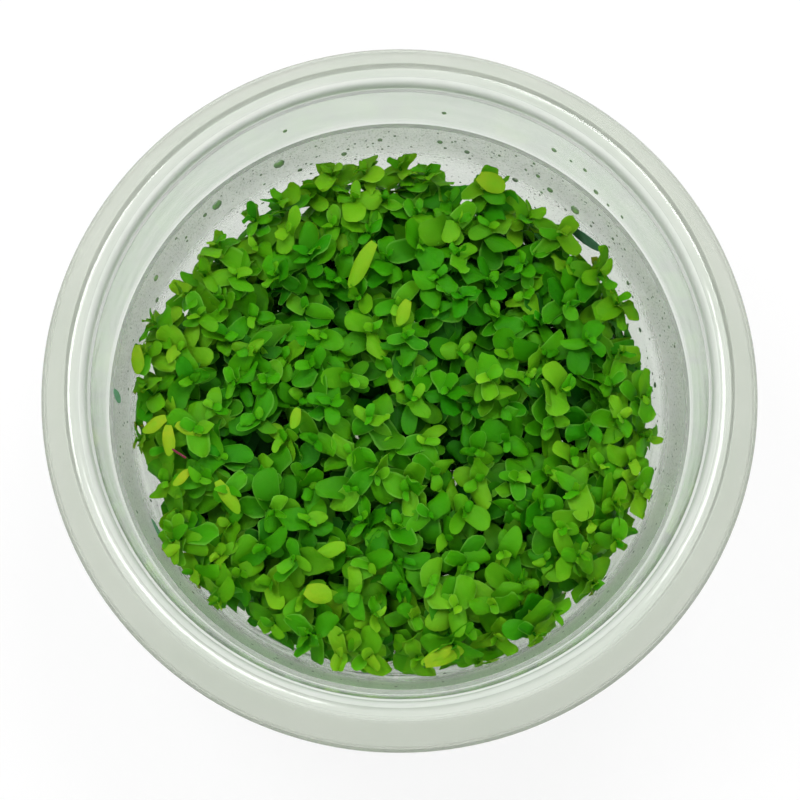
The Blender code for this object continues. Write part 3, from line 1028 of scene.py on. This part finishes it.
def make_stage():
    mesh = bpy.data.meshes.new("floor")
    work = bmesh.new()
    bmesh.ops.create_grid(work, x_segments=1, y_segments=1, size=FLOOR_REACH)
    work.to_mesh(mesh)
    work.free()
    floor = bpy.data.objects.new("floor", mesh)
    floor.location.z = FLOOR_LEVEL
    bpy.context.scene.collection.objects.link(floor)
    material = bpy.data.materials.new("white_floor")
    material.use_nodes = True
    tree = material.node_tree
    shader = tree.nodes["Principled BSDF"]
    shader.inputs["Base Color"].default_value = (0.9, 0.9, 0.9, 1.0)
    shader.inputs["Roughness"].default_value = 1.0
    shader.inputs["Specular IOR Level"].default_value = 0.0
    white = tree.nodes.new("ShaderNodeEmission")
    white.inputs["Strength"].default_value = 1.0
    both = tree.nodes.new("ShaderNodeMixShader")
    output = tree.nodes["Material Output"]
    tree.links.new(seen_share(tree, FLOOR_WHITE), both.inputs["Fac"])
    tree.links.new(shader.outputs["BSDF"], both.inputs[1])
    tree.links.new(white.outputs["Emission"], both.inputs[2])
    tree.links.new(both.outputs["Shader"], output.inputs["Surface"])
    mesh.materials.append(material)


def make_world():
    world = bpy.data.worlds.new("studio")
    bpy.context.scene.world = world
    world.use_nodes = True
    tree = world.node_tree
    soft = tree.nodes["Background"]
    soft.inputs["Color"].default_value = (1.0, 1.0, 1.0, 1.0)
    split = tree.nodes.new("ShaderNodeSeparateXYZ")
    tree.links.new(tree.nodes.new("ShaderNodeTexCoord").outputs["Generated"], split.inputs[0])
    fall = math_node(tree, "MULTIPLY", split.outputs["Y"], WORLD_LEAN)
    tree.links.new(math_node(tree, "ADD", fall, WORLD_LEVEL), soft.inputs["Strength"])
    white = tree.nodes.new("ShaderNodeBackground")
    white.inputs["Strength"].default_value = 1.0
    white.inputs["Color"].default_value = (1.0, 1.0, 1.0, 1.0)
    both = tree.nodes.new("ShaderNodeMixShader")
    tree.links.new(seen_share(tree, 1.0), both.inputs["Fac"])
    tree.links.new(soft.outputs["Background"], both.inputs[1])
    tree.links.new(white.outputs["Background"], both.inputs[2])
    tree.links.new(both.outputs["Shader"], tree.nodes["World Output"].inputs["Surface"])


def softbox(name, lean_right, lean_back, size, power):
    """A round area lamp overhead that looks at the cup; its two leans are in degrees."""
    data = bpy.data.lights.new(name, "AREA")
    data.shape = "DISK"
    data.size = size
    data.energy = power
    lamp = bpy.data.objects.new(name, data)
    across = math.tan(math.radians(lean_right))
    back = math.tan(math.radians(lean_back))
    lamp.location = Vector((across, back, 1.0)).normalized() * LAMP_DISTANCE
    target = Vector((0, 0, LAMP_TARGET_HEIGHT))
    lamp.rotation_euler = (target - lamp.location).to_track_quat("-Z", "Y").to_euler()
    bpy.context.scene.collection.objects.link(lamp)


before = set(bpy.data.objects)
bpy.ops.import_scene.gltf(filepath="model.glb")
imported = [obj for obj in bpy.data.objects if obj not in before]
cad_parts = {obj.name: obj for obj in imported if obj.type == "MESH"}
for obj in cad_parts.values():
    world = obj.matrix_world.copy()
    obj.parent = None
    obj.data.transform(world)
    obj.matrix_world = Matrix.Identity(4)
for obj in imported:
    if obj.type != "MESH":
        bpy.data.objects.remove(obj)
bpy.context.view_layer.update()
cup = cup_sizes()
make_camera()
make_stage()
make_world()
for name, settings in LAMPS.items():
    softbox(name, *settings)
make_cup(cup)
make_gel(cup)
make_plants(cup, [leaf_material(), root_material()])
make_condensation(cup, water_material())
make_stray_leaves(cup, fogged_leaf_material())
bpy.context.scene.view_settings.view_transform = "Standard"
